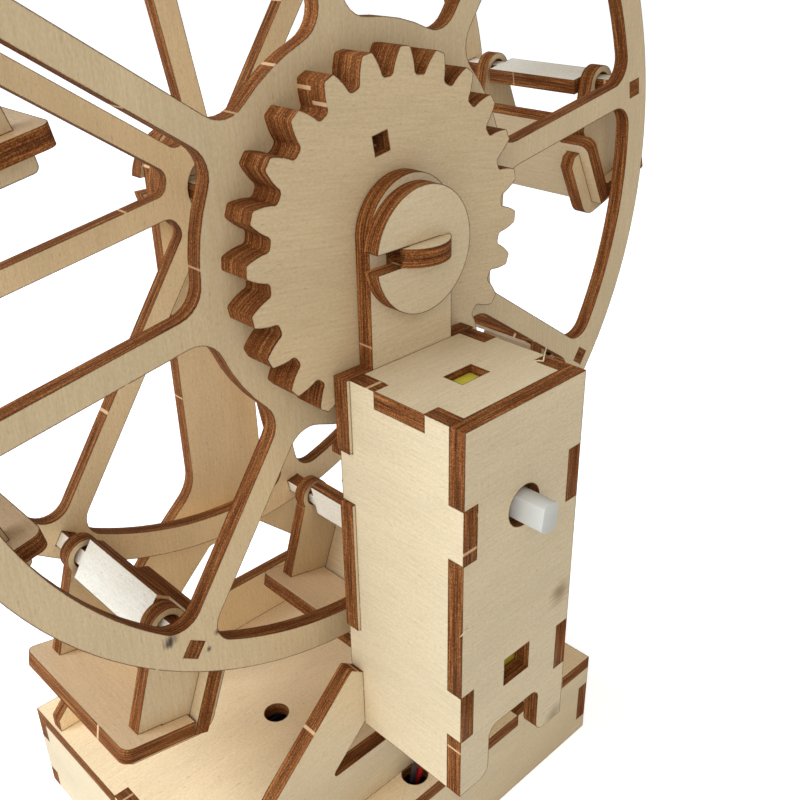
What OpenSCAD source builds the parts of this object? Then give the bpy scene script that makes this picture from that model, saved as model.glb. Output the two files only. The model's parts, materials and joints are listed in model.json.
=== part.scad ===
// Motor-driven ferris wheel, a slot-together plywood kit on a box base.
// Millimetres, +Z up. The origin is on the underside of the base, under the axle,
// midway between the two rings of the wheel. +Y runs along the axle to the back.

/* [Plywood] */
// Thickness of the sheet that every wooden piece is cut from
ply = 3; // [2.9:0.05:3.2]
// Clearance round every tab, peg and slot that fits together
slot_fit = 0.05; // [0.02:0.01:0.1]

/* [Wheel] */
// Outer radius of each ring
wheel_r = 79; // [77:0.5:84]
// Width of the rim of a ring
rim_w = 6; // [5:0.5:7]
// Radius of the solid hub disc of the front ring, which backs the gear
hub_r = 33.3; // [31:0.1:37]
// Radius of the small hub disc of the rear ring
rear_hub_r = 10.9; // [10.4:0.1:14]
// Width of a spoke
spoke_w = 4.6; // [4:0.1:8]
// Distance between the facing sides of the two rings
ring_gap = 41.6; // [41:0.2:48]
// Radius of the circle on which the gondolas hang
pin_circle_r = 74.9; // [73:0.1:76]
// Corner radius of a window where a spoke meets the rim
rim_corner_r = 4.5; // [2:0.5:6]
// Corner radius of a window where a spoke meets the front ring's hub
hub_corner_r = 5; // [2:0.5:6]
// Width of the flat middle of a cross bar
bar_w = 8; // [6:0.5:10]
// Length of the flat middle of a cross bar
bar_len = 23.4; // [20:0.2:24]
// Turn of the wheel at rest
wheel_angle = 10.2; // [0:0.1:45]
// Gap between the gear and the front frame
front_gap = 0.4; // [0.3:0.1:1]
// Gap between the rear ring and the rear washer
rear_gap = 0.9; // [0.3:0.1:1]

/* [Gear pair] */
// Module of the teeth
gear_module = 2.3375; // [2.2:0.0125:2.4]
// Addendum of the wheel gear
gear_addendum = 1.55; // [1.2:0.05:1.7]
// Dedendum of the wheel gear
gear_dedendum = 2.45; // [2.3:0.05:2.8]
// Addendum of the pinion
pinion_addendum = 1.85; // [1.4:0.05:2]
// Dedendum of the pinion
pinion_dedendum = 1.95; // [1.9:0.05:2.2]
// Play between the teeth along the pitch circle
backlash = 0.35; // [0.2:0.05:0.6]
// Rounding of a tooth's tip
tip_round = 0.55; // [0.2:0.05:0.6]
// Rounding of the bottom of a gap between teeth
gullet_round = 0.8; // [0.3:0.05:0.9]
// Distance of the two square alignment holes from the axle
align_hole_r = 16.3; // [15:0.1:20]

/* [Axle] */
// Height of the axle above the table
axle_z = 135; // [133:0.5:140]
// Width of the flat axle bar
axle_w = 11; // [10:0.1:12]
// Width of the necks that the caps slide on
neck_w = 7; // [6:0.1:8]
// Rise of the round end of the axle's heads
head_rise = 3.2; // [2:0.1:4]
// Clearance between the corners of the axle bar and the wheel's round bore
axle_clear = 0.3; // [0.2:0.05:0.6]
// Radius of the round caps and of the rear washer
cap_r = 10.35; // [9:0.05:12]

/* [Frames] */
// Radius of the round top of a frame
frame_top_r = 9.25; // [8.5:0.05:10]
// Height of the round top's centre above the axle
frame_top_rise = 2.4; // [1:0.1:4]
// Half width of the pointed window in a frame
window_half_w = 23.5; // [20:0.5:26]
// Height of the rail under that window
rail_h = 12.4; // [10:0.2:16]
// Height of that window
window_h = 15.3; // [10:0.1:18]
// Distance from a side of the base to the middle of the nearest tab that holds a frame
foot_tab_inset = 12.5; // [10:0.5:16]
// Width of each of those tabs
foot_tab_w = 10; // [6:0.5:12]

/* [Motor tower] */
// Outer width of the tower
tower_w = 28.6; // [28.6:0.2:32]
// Distance from the front frame to the back of the tower's front plate
tower_d = 21.7; // [21.7:0.1:25]
// Height of the tower
tower_h = 73.5; // [72:0.5:80]
// Height of the tower's top above the motor shaft
tower_over_shaft = 18.9; // [18.9:0.1:22]
// Drop from the tower's top to the upper pair of joint tabs
upper_tab_drop = 13.5; // [10:0.5:16]
// Drop from the tower's top to the lower pair of joint tabs
lower_tab_drop = 50.5; // [46:0.5:54]
// Height of the joint tabs of the tower's side walls
joint_tab_h = 10; // [8:0.5:12]
// Amount by which the front frame's fingers stand out past the side walls
finger_proud = 0.65; // [0:0.05:1]
// Diameter of the clearance holes for the motor shaft
shaft_hole_d = 7.5; // [7:0.1:9]
// Height of the arch at the foot of the tower's front plate
arch_h = 11; // [8:0.5:14]
// Width of that arch
arch_w = 13.6; // [10:0.2:15]
// Width of the small window in the front plate
peep_w = 6.6; // [5:0.2:8]
// Height of that window
peep_h = 5.8; // [4:0.2:8]
// Height of that window's centre above the tower's foot
peep_z = 21.5; // [19:0.5:24]

/* [Gear motor] */
// Width of the gearbox
gearbox_w = 22.4; // [22:0.1:22.4]
// Depth of the gearbox
gearbox_d = 18.8; // [18:0.1:18.8]
// Height of the gearbox
gearbox_h = 37.6; // [36:0.1:38]
// Height of the gearbox above the shaft
gearbox_over_shaft = 10.8; // [10:0.1:12]
// Diameter of the motor can
can_d = 20.1; // [19:0.1:20.4]
// Distance between the flats of the motor can
can_flat = 15.4; // [14:0.1:16]
// Length of the motor can
can_len = 25; // [24:0.5:26]
// Diameter of the motor shaft
shaft_d = 5.4; // [5:0.1:5.6]
// Distance between the flats of the motor shaft
shaft_flat = 3.7; // [3.4:0.1:4]
// Length of the motor shaft
shaft_len = 36.3; // [36:0.1:38]
// Length of the shaft that stands out of the tower's front plate
shaft_stub = 5.2; // [4.8:0.1:6]
// Running clearance round the motor shaft
shaft_clear = 0.08; // [0.05:0.01:0.1]

/* [Base] */
// Width of the base
base_w = 101; // [98:1:110]
// Height of the base
base_h = 22.3; // [21.8:0.1:26]
// Ledge of the base in front of the front frame
front_ledge = 7.2; // [6.5:0.1:10]
// Ledge of the base behind the rear frame
rear_ledge = 7.5; // [6.5:0.1:10]
// Diameter of the two wiring holes in the base's top
wire_hole_d = 5.4; // [4:0.1:5.4]
// Height of the corner tabs of the base's side walls
corner_tab_h = 9.9; // [8:0.1:12]
// Height of those tabs above the table
corner_tab_z = 4.3; // [4:0.1:6]
// Width of the tabs that hold the top down along its short edges
side_tab_w = 9.7; // [6:0.1:12]
// Width of the tabs that hold the top down along its long edges
long_tab_w = 6.6; // [5:0.1:8]
// Half distance between the two tabs along a long edge
long_tab_x = 27.5; // [20:0.5:34]

/* [Batteries] */
// Length of a cell without its button
cell_l = 49.2; // [48:0.1:50.5]
// Clearance round each cell in its pocket
cell_fit = 0.2; // [0.1:0.05:0.4]
// Gap between the cells and the base's top
cell_headroom = 0.75; // [0.5:0.05:1.5]
// Height of the cells above the sides of the battery holder
cell_proud = 0.9; // [0.5:0.1:3]
// Room along the battery holder for its walls and contacts, past the cells
holder_spare_l = 8.8; // [8:0.2:11]
// Gap between the battery holder and the base's back wall
holder_gap = 1; // [0.5:0.1:2]

/* [Gondola] */
// Radius of the ear that a gondola hangs by
ear_r = 3.7; // [3.5:0.1:4.5]
// Clearance between the corners of the square pin and the ear's round hole
pin_clear = 0.2; // [0.1:0.05:0.3]
// Distance between the two end plates
seat_w = 25.6; // [24.6:0.2:26.4]
// Drop from the pin to the floor
floor_drop = 20.2; // [18:0.2:22]
// Length of the floor across the wheel
floor_l = 37; // [34:0.2:40.6]
// Reach of the floor in front of the pin
floor_front = 9; // [8:0.5:11]
// Corner radius of the floor
floor_corner_r = 1.8; // [1:0.1:5]
// Reach of the seat back behind the pin, at the floor
back_reach = 5.8; // [5:0.1:6.5]
// Lean of the seat back
back_lean = 9.3; // [5:0.1:12]
// Height of the seat back's shoulders
shoulder_h = 15.4; // [14.5:0.1:17]
// Height of the seat back's raised middle
crest_h = 20.3; // [18:0.1:21]
// Width of the seat back's raised middle
crest_w = 20; // [14:0.5:22]
// Length of the slots that take the end plates
slot_h = 13.2; // [11:0.1:13.5]
// Amount by which an end plate stands out behind the seat back
tail = 3.1; // [2:0.1:4]
// Tilt at which a loose gondola comes to rest
hang_tilt = 12; // [0:0.5:20]

/* [Hidden] */
$fn = 96;

// Overrun of every cut past the faces that it opens
cut = 1;
// Counts and angles
spokes = 8;
gear_teeth = 24;
pinion_teeth = 8;
pressure_angle = 25;
// Way that each gondola's seat back faces, a to h: 1 is +X and -1 is -X
gondola_facing = [-1, -1, -1, -1, -1, 1, 1, 1];
// Extra tilt of each gondola, a to h
gondola_extra_tilt = [6, 0, 0, 0, 0, 0, 0, 0];

// Stack along the axle
front_ring_y = -ring_gap / 2 - ply;
rear_ring_y = ring_gap / 2;
gear_back_y = front_ring_y - ply;
gear_front_y = gear_back_y - ply;
front_frame_y = gear_front_y - front_gap - ply;
front_cap_y = front_frame_y - ply;
washer_y = rear_ring_y + ply + rear_gap;
rear_frame_y = washer_y + ply;
rear_cap_y = rear_frame_y + ply;

// Gear pair
gear_pitch_r = gear_module * gear_teeth / 2;
pinion_pitch_r = gear_module * pinion_teeth / 2;
shaft_z = axle_z - gear_pitch_r - pinion_pitch_r;
tooth_width = PI * gear_module / 2 - backlash / 2;
// A gap of the pinion takes the gear's tooth on the line of centres
pinion_angle = 90 - (wheel_angle + 90) * gear_teeth / pinion_teeth + 180 / pinion_teeth;
pinion_front_y = front_frame_y + ply + front_gap / 2;

// Wheel
bore_r = norm([axle_w, ply]) / 2 + axle_clear;
// Nearly the roundest end that fits between two spokes outside the small hub
half_span = 180 / spokes;
rear_hub_corner_r = 0.8 * (rear_hub_r * sin(half_span) - spoke_w / 2) / (1 - sin(half_span));
ear_hole_r = norm([ply, ply]) / 2 + pin_clear;

// Tower
tower_top = shaft_z + tower_over_shaft;
tower_foot = tower_top - tower_h;
tower_front_y = front_frame_y - tower_d - ply;
tower_in = tower_w / 2 - ply;
upper_tab_z = tower_top - upper_tab_drop - joint_tab_h;
lower_tab_z = tower_top - lower_tab_drop - joint_tab_h;
// Thirds of the tower's depth: the side walls' top tabs lie outside, the lid's between
lid_tab_shares = [0.24, 0.735];
// Corner radii of the arch and of the front plate's feet
arch_r = arch_w * 0.15;
foot_r = arch_w * 0.17;

// Slot in the lid for the gearbox's top lug, and the lug
lug_w = gearbox_w * 0.25;
lug_d = gearbox_d * 0.2;
lug_slot_w = gearbox_w * 0.286;
lug_over = ply * 0.43;
// Gearbox, centred on the can: a small bump on its back keeps it off the front frame
bump_h = 2;
motor_front_y = tower_front_y + ply + (tower_d - gearbox_d - bump_h) / 3;
motor_y = motor_front_y + gearbox_d / 2;
gearbox_top = shaft_z + gearbox_over_shaft;
gearbox_foot = gearbox_top - gearbox_h;
gearbox_r = gearbox_w * 0.09;
bump_r = shaft_d * 0.37;
bump_drop = gearbox_over_shaft * 1.06;
can_foot = gearbox_foot - can_len;
can_r = can_d * 0.13;
cheek_w = gearbox_w * 0.45;
cheek_h = can_len * 0.43;
// Rear bearing boss and solder tags of the can
boss_r = can_d * 0.15;
boss_h = can_len * 0.04;
tag_x = can_d * 0.175;
tag_w = can_d * 0.1;
tag_t = can_d * 0.025;
tag_h = can_len * 0.11;
tag_y = motor_y + can_flat * 0.4;
// Clear strap that clips the can to the gearbox
strap_t = (gearbox_w - can_d) / 2 - 2 * slot_fit;
strap_w = can_flat * 0.65;
strap_top_share = 0.83;
shaft_y = tower_front_y - shaft_stub;

// Base
base_front_y = front_frame_y - front_ledge;
base_back_y = rear_frame_y + ply + rear_ledge;
base_d = base_back_y - base_front_y;
base_mid_y = (base_front_y + base_back_y) / 2;
top_z = base_h - ply;
foot_tab_x = base_w / 2 - foot_tab_inset;
front_wire_hole = [-0.034 * base_w, front_frame_y - front_ledge / 3];
rear_wire_hole = [-0.129 * base_w, front_frame_y + 0.403 * base_d];

// Batteries
holder_wall = 1.2;
cell_gap = 0.1;
cell_foot = ply + slot_fit + holder_wall + cell_gap;
cell_d = top_z - cell_headroom - cell_foot;
cell_z = cell_foot + cell_d / 2;
pocket_w = cell_d + 2 * cell_fit;
holder_w = 2 * pocket_w + 3 * holder_wall;
holder_h = holder_wall + cell_gap + cell_d - cell_proud;
holder_l = cell_l + holder_spare_l;
pocket_l = holder_l - 4 * holder_wall;
holder_y = base_back_y - ply - holder_gap - holder_w / 2;
button_d = cell_d * 0.38;
button_l = cell_l * 0.02;
contact_t = 0.5;
contact_w = cell_d * 0.6;

// Leads from the motor's solder tags through the front wiring hole to the battery holder
lead_d = 1.2;
lead_sides = 8;
lead_steps = 3;
lead_top_z = can_foot - tag_h;
lead_end_x_share = 0.35;
// Height of the leads' way down to the base, and their height inside it
lead_drop = lead_top_z - base_h;
lead_lie_z = ply + holder_h * 0.47;

// Gondola, drawn with its pin at the origin and its seat back at +X
back_foot = [back_reach - ply * tan(back_lean), -floor_drop - ply];
tail_drop = floor_drop + 2 * ply;
prong_reach = floor_front * 0.69;
prong_r = ply / 3;
tail_r = ply * 1.15;
end_top_x_share = 0.72;
end_front_x = floor_front * 0.54;
end_shoulder_s = shoulder_h + ply / 3;

// Unit vector along v
function unit(v) = v / norm(v);

// Arc of radius r round a centre, from angle a0 to a1 in n steps
function arc(centre, r, a0, a1, n) =
  [for (i = [0:n]) centre + r * [cos(a0 + (a1 - a0) * i / n), sin(a0 + (a1 - a0) * i / n)]];

// Arc that rounds the corner b between a and c
function corner(a, b, c, r, n = 6) =
  let (
    u = unit(a - b),
    v = unit(c - b),
    half = acos(u * v) / 2,
    centre = b + unit(u + v) * r / sin(half),
    p = b + u * r / tan(half) - centre,
    q = b + v * r / tan(half) - centre,
    a0 = atan2(p.y, p.x),
    turn = (atan2(q.y, q.x) - a0 + 540) % 360 - 180
  )
  arc(centre, r, a0, a0 + turn, n);

// Outline of [x, y, corner radius] points with its corners rounded
function rounded(points) =
  let (n = len(points))
  [for (i = [0:n - 1])
    let (
      a = points[(i + n - 1) % n],
      b = points[i],
      c = points[(i + 1) % n]
    )
    each b[2] == 0 ? [[b.x, b.y]] : corner([a.x, a.y], [b.x, b.y], [c.x, c.y], b[2])];

// The points of one side with those of its mirror image in the Y axis
function both_sides(points) =
  concat(points, [for (i = [len(points) - 1:-1:0]) [-points[i].x, points[i].y, points[i][2]]]);

// Upright sheet across the axle, drawn in X and Z, with its front face at y
module sheet(y) {
  translate([0, y + ply, 0])
    rotate([90, 0, 0])
      linear_extrude(ply)
        children();
}

// Upright sheet along the axle, drawn in Y and Z, with its left face at x
module side_sheet(x) {
  translate([x, 0, 0])
    rotate([90, 0, 90])
      linear_extrude(ply)
        children();
}

// Level sheet drawn in X and Y, with its lower face at z
module level_sheet(z) {
  translate([0, 0, z])
    linear_extrude(ply)
      children();
}

// Rectangle from [x0, y0] to [x1, y1]
module box2(x0, y0, x1, y1) {
  translate([x0, y0])
    square([x1 - x0, y1 - y0]);
}

// Base

// Foot tabs of a frame, grown by a clearance, in X
module foot_tab_spans(grow, y0, y1) {
  for (side = [-1, 1])
    translate([side * foot_tab_x, (y0 + y1) / 2])
      square([foot_tab_w + 2 * grow, y1 - y0], center = true);
}

// Top of the base, notched for the walls' tabs, slotted for the frames' feet
module base_top() {
  color("burlywood")
    level_sheet(top_z)
      difference() {
        box2(-base_w / 2, base_front_y, base_w / 2, base_back_y);
        for (side = [-1, 1]) {
          translate([side * base_w / 2, base_mid_y])
            square([2 * ply + 2 * slot_fit, side_tab_w + 2 * slot_fit], center = true);
          for (y = [base_front_y, base_back_y])
            translate([side * long_tab_x, y])
              square([long_tab_w + 2 * slot_fit, 2 * ply + 2 * slot_fit], center = true);
        }
        for (y = [front_frame_y, rear_frame_y])
          foot_tab_spans(slot_fit, y - slot_fit, y + ply + slot_fit);
        for (hole = [front_wire_hole, rear_wire_hole])
          translate(hole)
            circle(d = wire_hole_d);
      }
}

// Bottom of the base, let in between the four walls
module base_bottom() {
  color("burlywood")
    level_sheet(0)
      box2(-base_w / 2 + ply + slot_fit, base_front_y + ply + slot_fit,
        base_w / 2 - ply - slot_fit, base_back_y - ply - slot_fit);
}

// Long wall of the base, with two tabs up into the top and end notches for the side walls
module long_wall(y) {
  color("wheat")
    sheet(y)
      difference() {
        union() {
          box2(-base_w / 2, 0, base_w / 2, top_z);
          for (side = [-1, 1])
            translate([side * long_tab_x - long_tab_w / 2, 0])
              square([long_tab_w, base_h]);
        }
        for (side = [-1, 1])
          translate([side * base_w / 2, corner_tab_z + corner_tab_h / 2])
            square([2 * ply + 2 * slot_fit, corner_tab_h + 2 * slot_fit], center = true);
      }
}

// Short wall of the base, tabbed into the long walls and up into the top
module short_wall(x) {
  color("wheat")
    side_sheet(x) {
      box2(base_front_y + ply + slot_fit, 0, base_back_y - ply - slot_fit, top_z);
      box2(base_front_y, corner_tab_z, base_back_y, corner_tab_z + corner_tab_h);
      box2(base_mid_y - side_tab_w / 2, 0, base_mid_y + side_tab_w / 2, base_h);
    }
}

module base_front_wall() { long_wall(base_front_y); }
module base_back_wall() { long_wall(base_back_y - ply); }
module base_left_wall() { short_wall(-base_w / 2); }
module base_right_wall() { short_wall(base_w / 2 - ply); }

// Batteries

// Offset of each pocket's centre from the holder's centre
function pocket_y(side) = holder_y + side * (pocket_w + holder_wall) / 2;

// Plastic tray with a pocket for each of two cells
module battery_holder() {
  color("dimgray")
    difference() {
      translate([-holder_l / 2, holder_y - holder_w / 2, ply + slot_fit])
        cube([holder_l, holder_w, holder_h]);
      for (side = [-1, 1])
        translate([-pocket_l / 2, pocket_y(side) - pocket_w / 2, ply + slot_fit + holder_wall])
          cube([pocket_l, pocket_w, holder_h]);
    }
}

// Two cells, laid head to tail
module battery_cells() {
  color("darkgray")
    for (side = [-1, 1])
      translate([0, pocket_y(side), cell_z])
        rotate([0, side * 90, 0]) {
          translate([0, 0, -(cell_l + button_l) / 2])
            cylinder(d = cell_d, h = cell_l);
          translate([0, 0, -(cell_l + button_l) / 2])
            cylinder(d = button_d, h = cell_l + button_l);
        }
}

// Contact plates at both ends of each pocket
module battery_contacts() {
  color("silver")
    for (side = [-1, 1])
      for (x = [-pocket_l / 2 + slot_fit, pocket_l / 2 - contact_t - slot_fit])
        translate([x, pocket_y(side) - contact_w / 2, cell_z - contact_w / 2])
          cube([contact_t, contact_w, contact_w]);
}

// Route of the lead on one side, from its tag through the wiring hole to the holder
function lead_route(side) =
  let (
    tag = [side * tag_x, tag_y],
    hole = front_wire_hole + [side * lead_d * 0.75, 0],
    end = [side * holder_l * lead_end_x_share, holder_y - holder_w / 2]
  )
  [
    [tag.x, tag.y, lead_top_z],
    [tag.x, tag.y, lead_top_z - lead_drop / 4],
    each [for (share = [0.7, 0.2])
      let (at = hole + (tag - hole) * share)
      [at.x, at.y, base_h + lead_drop * share * 0.7]],
    [hole.x, hole.y, top_z + ply / 2],
    [hole.x, hole.y + lead_d, top_z - ply * 1.6],
    each [for (share = [0.18, 0.44, 0.7])
      let (at = hole + (end - hole) * share)
      [at.x, at.y, lead_lie_z]],
    [end.x, end.y - lead_d * 3, lead_lie_z],
    [end.x, end.y, lead_lie_z]
  ];

// Point of a smooth curve through four points, between the middle two
function curve_point(a, b, c, d, t) =
  (2 * b + (c - a) * t + (2 * a - 5 * b + 4 * c - d) * t * t
    + (3 * b - a - 3 * c + d) * t * t * t) / 2;

// Smooth curve through a route's points
function smooth_route(route, steps) =
  let (last = len(route) - 1)
  concat(
    [for (i = [0:last - 1])
      for (k = [0:steps - 1])
        i == 0 || i == last - 1
          ? route[i] + (route[i + 1] - route[i]) * k / steps
          : curve_point(route[i - 1], route[i], route[i + 1], route[i + 2], k / steps)],
    [route[last]]
  );

// Round lead swept along its route
module lead(route) {
  path = smooth_route(route, lead_steps);
  last = len(path) - 1;
  rings = [for (i = [0:last])
    let (
      along = unit(path[min(i + 1, last)] - path[max(i - 1, 0)]),
      u = unit(cross(along, [1, 0, 0])),
      v = cross(along, u)
    )
    for (k = [0:lead_sides - 1])
      path[i] + lead_d / 2 * (u * cos(360 * k / lead_sides) + v * sin(360 * k / lead_sides))];
  walls = [for (i = [0:last - 1])
    for (k = [0:lead_sides - 1])
      let (
        a = i * lead_sides + k,
        b = i * lead_sides + (k + 1) % lead_sides
      )
      each [[a, a + lead_sides, b], [b, a + lead_sides, b + lead_sides]]];
  start_cap = [for (k = [0:lead_sides - 1]) k];
  end_cap = [for (k = [lead_sides - 1:-1:0]) last * lead_sides + k];
  polyhedron(rings, concat(walls, [start_cap, end_cap]));
}

module red_lead() { color("firebrick") lead(lead_route(1)); }
module black_lead() { color("black") lead(lead_route(-1)); }

// Frames

// Pointed window between a frame's legs
module frame_window() {
  leg_slope = 1.07;
  top_half_w = window_half_w - window_h * leg_slope;
  polygon(rounded(both_sides([
    [window_half_w, base_h + rail_h, ply / 4],
    [top_half_w, base_h + rail_h + window_h, ply / 2]
  ])));
}

// Slot for the flat axle
module axle_slot() {
  translate([0, axle_z])
    square([axle_w + 2 * slot_fit, ply + 2 * slot_fit], center = true);
}

// Right half of a frame's round top, down to the post's straight side
frame_top = [for (a = [86:-8:6]) [
  frame_top_r * cos(a), axle_z + frame_top_rise + frame_top_r * sin(a), 0]];

// Right half of a frame's foot, with the tab that goes through the base's top
frame_foot = [
  [base_w / 2 - finger_proud, base_h, 0],
  [foot_tab_x + foot_tab_w / 2, base_h, 0],
  [foot_tab_x + foot_tab_w / 2, top_z, 0],
  [foot_tab_x - foot_tab_w / 2, top_z, 0],
  [foot_tab_x - foot_tab_w / 2, base_h, 0]
];

// Front frame: carries the axle and is also the back wall of the motor tower
module front_frame() {
  finger_x = tower_w / 2 + finger_proud;
  notch_x = tower_in - slot_fit;
  leg_x = tower_w / 2 + slot_fit;
  knee = [base_w * 0.361, base_h + (lower_tab_z - base_h) * 0.51];
  shoulders = [
    [frame_top_r, tower_top, 0],
    [finger_x, tower_top, 0],
    [finger_x, upper_tab_z + joint_tab_h + slot_fit, 0],
    [notch_x, upper_tab_z + joint_tab_h + slot_fit, 0],
    [notch_x, upper_tab_z - slot_fit, 0],
    [finger_x, upper_tab_z - slot_fit, 0],
    [finger_x, lower_tab_z + joint_tab_h + slot_fit, 0],
    [notch_x, lower_tab_z + joint_tab_h + slot_fit, 0],
    [notch_x, lower_tab_z - slot_fit, 0],
    [leg_x, lower_tab_z - slot_fit, 0],
    [leg_x + finger_proud * 4, lower_tab_z + finger_proud * 3, finger_proud],
    [knee.x, knee.y, window_half_w],
    [base_w / 2 - finger_proud, base_h + finger_proud, finger_proud / 2]
  ];
  color("burlywood")
    sheet(front_frame_y)
      difference() {
        polygon(rounded(both_sides(concat(frame_top, shoulders, frame_foot))));
        axle_slot();
        frame_window();
        translate([0, shaft_z])
          circle(d = shaft_hole_d);
      }
}

// Rear frame: a slim post on two splayed legs
module rear_frame() {
  legs = [
    [frame_top_r, base_h + window_half_w * 1.9, frame_top_r * 0.9],
    [window_half_w, base_h + window_half_w * 1.36, frame_top_r * 0.35],
    [base_w / 2 - finger_proud, base_h + ply, finger_proud]
  ];
  color("burlywood")
    sheet(rear_frame_y)
      difference() {
        polygon(rounded(both_sides(concat(frame_top, legs, frame_foot))));
        axle_slot();
        frame_window();
      }
}

// Motor tower

// Front plate of the tower: notched for the side walls, holed for the shaft, arched below
module tower_front() {
  mid = tower_foot + peep_z;
  color("wheat")
    sheet(tower_front_y)
      difference() {
        box2(-tower_w / 2, tower_foot, tower_w / 2, tower_top);
        for (side = [-1, 1])
          for (z = [upper_tab_z, lower_tab_z])
            translate([side * tower_w / 2, z + joint_tab_h / 2])
              square([2 * ply + 2 * slot_fit, joint_tab_h + 2 * slot_fit], center = true);
        translate([0, shaft_z])
          circle(d = shaft_hole_d);
        box2(-peep_w / 2, mid - peep_h / 2, peep_w / 2, mid + peep_h / 2);
        polygon(concat(
          corner([tower_w, tower_foot], [arch_w / 2, tower_foot],
            [arch_w / 2, tower_foot + arch_h], foot_r),
          corner([arch_w / 2, tower_foot], [arch_w / 2, tower_foot + arch_h],
            [-arch_w / 2, tower_foot + arch_h], arch_r),
          corner([arch_w / 2, tower_foot + arch_h], [-arch_w / 2, tower_foot + arch_h],
            [-arch_w / 2, tower_foot], arch_r),
          corner([-arch_w / 2, tower_foot + arch_h], [-arch_w / 2, tower_foot],
            [-tower_w, tower_foot], foot_r),
          [[-arch_w / 2 - foot_r, tower_foot - cut], [arch_w / 2 + foot_r, tower_foot - cut]]
        ));
      }
}

// Side wall of the tower, tabbed through the front plate, the front frame and the lid
module tower_side(x) {
  back_y = front_frame_y;
  front_y = back_y - tower_d;
  color("wheat")
    side_sheet(x)
      difference() {
        union() {
          box2(front_y + slot_fit, tower_foot, back_y - slot_fit, tower_top);
          for (z = [upper_tab_z, lower_tab_z])
            box2(front_y - ply, z, back_y + ply, z + joint_tab_h);
        }
        box2(front_y + tower_d * lid_tab_shares[0] - slot_fit, tower_top - ply - slot_fit,
          front_y + tower_d * lid_tab_shares[1] + slot_fit, tower_top + cut);
      }
}

module tower_left() { tower_side(-tower_w / 2); }
module tower_right() { tower_side(tower_w / 2 - ply); }

// Lid of the tower, with a side tab over each wall and a slot for the gearbox's lug
module tower_lid() {
  front_y = front_frame_y - tower_d;
  color("wheat")
    level_sheet(tower_top - ply)
      difference() {
        union() {
          box2(-tower_in + slot_fit, front_y + slot_fit, tower_in - slot_fit,
            front_frame_y - slot_fit);
          box2(-tower_w / 2, front_y + tower_d * lid_tab_shares[0], tower_w / 2,
            front_y + tower_d * lid_tab_shares[1]);
        }
        translate([0, motor_y])
          square([lug_slot_w, lug_d + 2 * slot_fit + slot_fit * 2], center = true);
      }
}

// Gear motor

// Round bar with two flats, drawn across its axis
module double_d(d, flat) {
  intersection() {
    circle(d = d);
    square([flat, d + cut], center = true);
  }
}

// Moulded gearbox: housing, top lug, back bump and the two cheeks that hold the can
module motor_gearbox() {
  half = gearbox_w / 2;
  color("gold")
    difference() {
      union() {
        translate([0, motor_front_y + gearbox_d, 0])
          rotate([90, 0, 0])
            linear_extrude(gearbox_d)
              polygon(rounded(both_sides([
                [half, gearbox_foot, gearbox_r / 2],
                [half, gearbox_top, gearbox_r]
              ])));
        translate([-lug_w / 2, motor_y - lug_d / 2, gearbox_top - cut])
          cube([lug_w, lug_d, tower_top - lug_over - gearbox_top + cut]);
        translate([0, motor_front_y + gearbox_d - cut, shaft_z - bump_drop])
          rotate([-90, 0, 0])
            cylinder(r = bump_r, h = bump_h + cut);
        for (side = [-1, 1])
          translate([-cheek_w / 2, motor_y + side * (gearbox_d + can_flat) / 4
            + side * slot_fit / 2 - (gearbox_d - can_flat) / 4 + slot_fit / 2,
            gearbox_foot - cheek_h])
            cube([cheek_w, (gearbox_d - can_flat) / 2 - slot_fit, cheek_h + cut]);
      }
      translate([0, motor_front_y + gearbox_d + cut, shaft_z])
        rotate([90, 0, 0])
          cylinder(d = shaft_d + 2 * shaft_clear, h = gearbox_d + 2 * cut);
    }
}

// Steel motor can with two flats, its rear boss and its two solder tags
module motor_can() {
  color("silver") {
    translate([0, motor_y, can_foot])
      intersection() {
        rotate_extrude()
          polygon(concat(
            [[0, can_len], [0, 0]],
            arc([can_d / 2 - can_r, can_r], can_r, -90, 0, 6),
            [[can_d / 2, can_len]]
          ));
        translate([-can_d, -can_flat / 2, -cut])
          cube([2 * can_d, can_flat, can_len + 2 * cut]);
      }
    translate([0, motor_y, can_foot - boss_h])
      cylinder(r = boss_r, h = boss_h + cut);
    for (side = [-1, 1])
      translate([side * tag_x - tag_w / 2, tag_y - tag_t / 2, can_foot - tag_h])
        cube([tag_w, tag_t, tag_h + cut]);
  }
}

// Clear plastic strap round the can's end, holed for the boss
module motor_strap() {
  out = can_d / 2 + slot_fit + strap_t;
  foot = can_foot - slot_fit - strap_t;
  top = can_foot + can_len * strap_top_share;
  color("palegreen")
    difference() {
      translate([0, motor_y + strap_w / 2, 0])
        rotate([90, 0, 0])
          linear_extrude(strap_w)
            difference() {
              polygon(rounded(both_sides([
                [out, foot, can_r + slot_fit + strap_t],
                [out, top, 0]
              ])));
              polygon(rounded(both_sides([
                [can_d / 2 + slot_fit, can_foot - slot_fit, can_r + slot_fit],
                [can_d / 2 + slot_fit, top + cut, 0]
              ])));
            }
      translate([0, motor_y, foot - cut])
        cylinder(r = boss_r + slot_fit, h = strap_t + 2 * cut);
    }
}

// White output shaft, flattened on two sides, turning in the gearbox
module motor_shaft() {
  color("white")
    translate([0, shaft_y + shaft_len, shaft_z])
      rotate([90, 0, 0])
        linear_extrude(shaft_len)
          rotate(pinion_angle)
            double_d(shaft_d, shaft_flat);
}

// Gear pair

// Involute of an angle, in degrees
function involute(a) = tan(a) * 180 / PI - a;

// Half the angle that a tooth takes up at radius r
function tooth_half(r, pitch_r) =
  tooth_width / 2 / pitch_r * 180 / PI + involute(pressure_angle)
    - involute(acos(min(1, pitch_r * cos(pressure_angle) / r)));

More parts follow.
